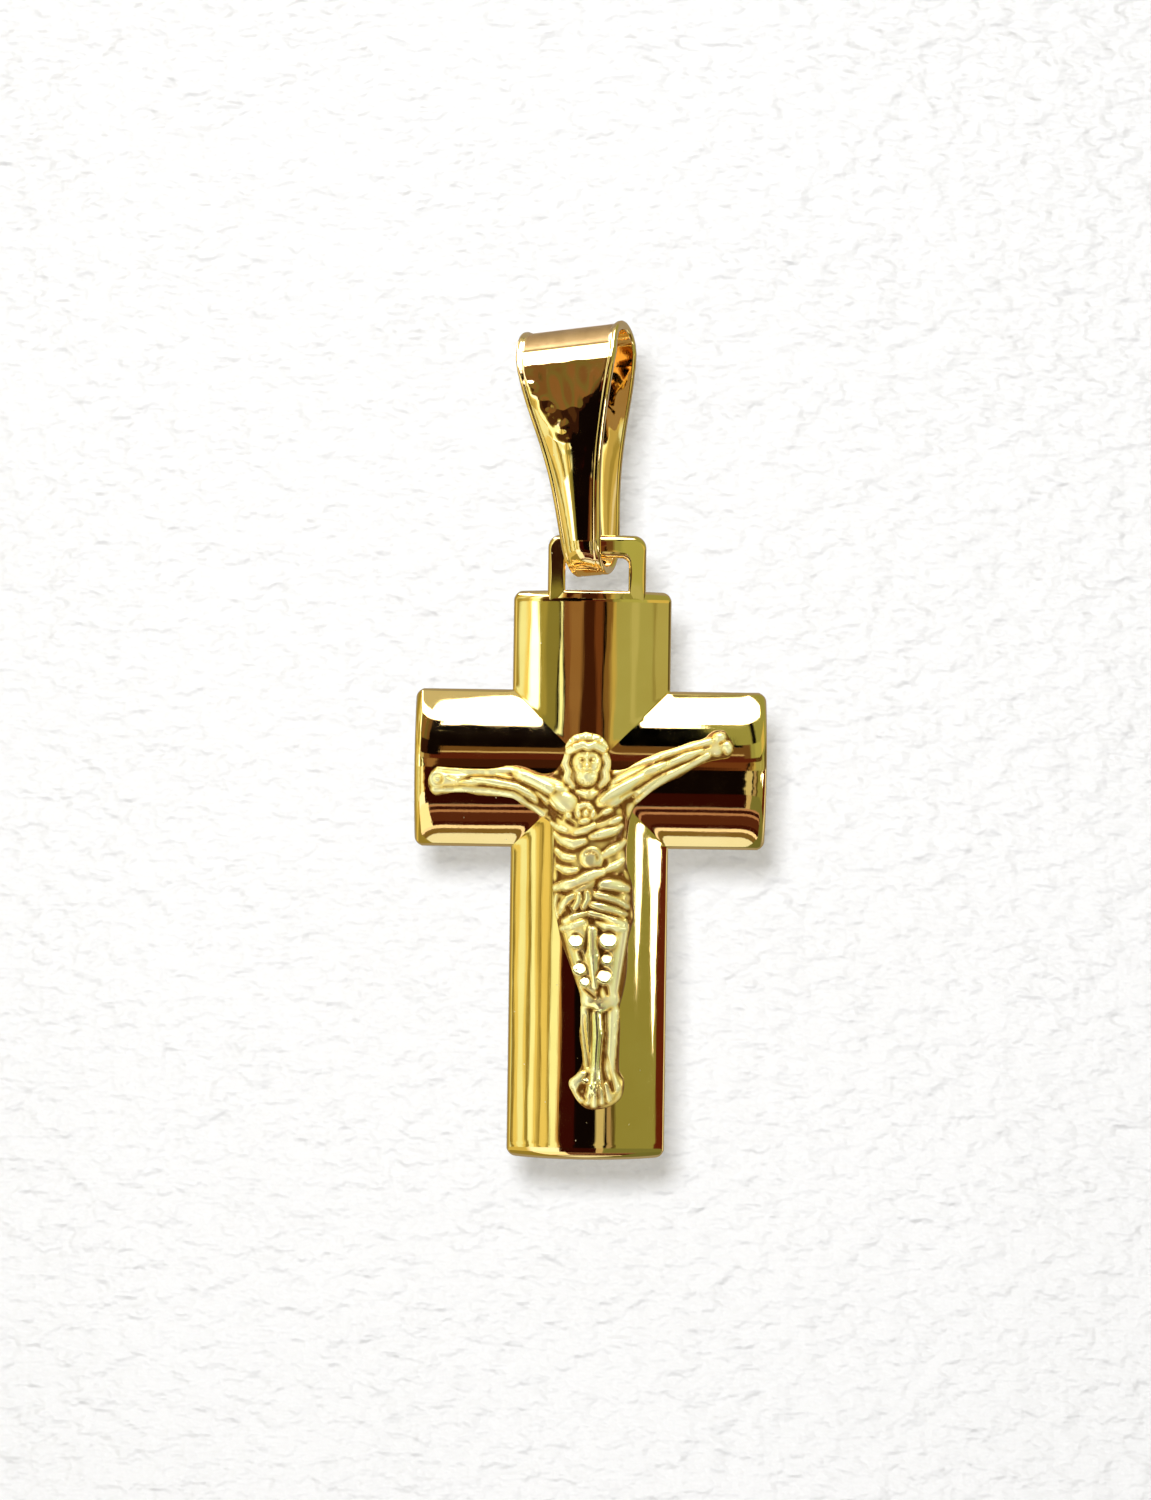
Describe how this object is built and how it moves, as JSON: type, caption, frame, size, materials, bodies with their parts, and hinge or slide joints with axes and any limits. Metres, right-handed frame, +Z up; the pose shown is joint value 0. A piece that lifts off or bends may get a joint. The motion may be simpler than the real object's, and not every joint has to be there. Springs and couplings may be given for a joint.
{
  "type": "crucifix pendant",
  "caption": "Domed hollow gold cross pendant with a cast figure, hung by a windowed ear in a folded, tapered strap bail.",
  "frame": {"origin": "centre of the bail's eye, where a chain passes", "axes": "+Z up along the hanging cross, +X to the viewer's right, front towards -Y"},
  "size_m": [0.014, 0.0042, 0.0332],
  "materials": {
    "bail_gold": "polished rose-yellow gold",
    "cross_gold": "mirror-polished yellow gold",
    "cast_gold": "satin cast pale yellow gold"
  },
  "bodies": {
    "bail": {"bail": "bail_gold"},
    "cross": {"cross": "cross_gold", "corpus": "cast_gold"}
  },
  "joints": [
    {"name": "cross_swing", "type": "hinge", "parent": "bail", "child": "cross", "pos_m": [0.00065, 0, -0.00747], "axis": [0.9237, -0.3746, 0.0808], "range_deg": [-70, 70]}
  ]
}
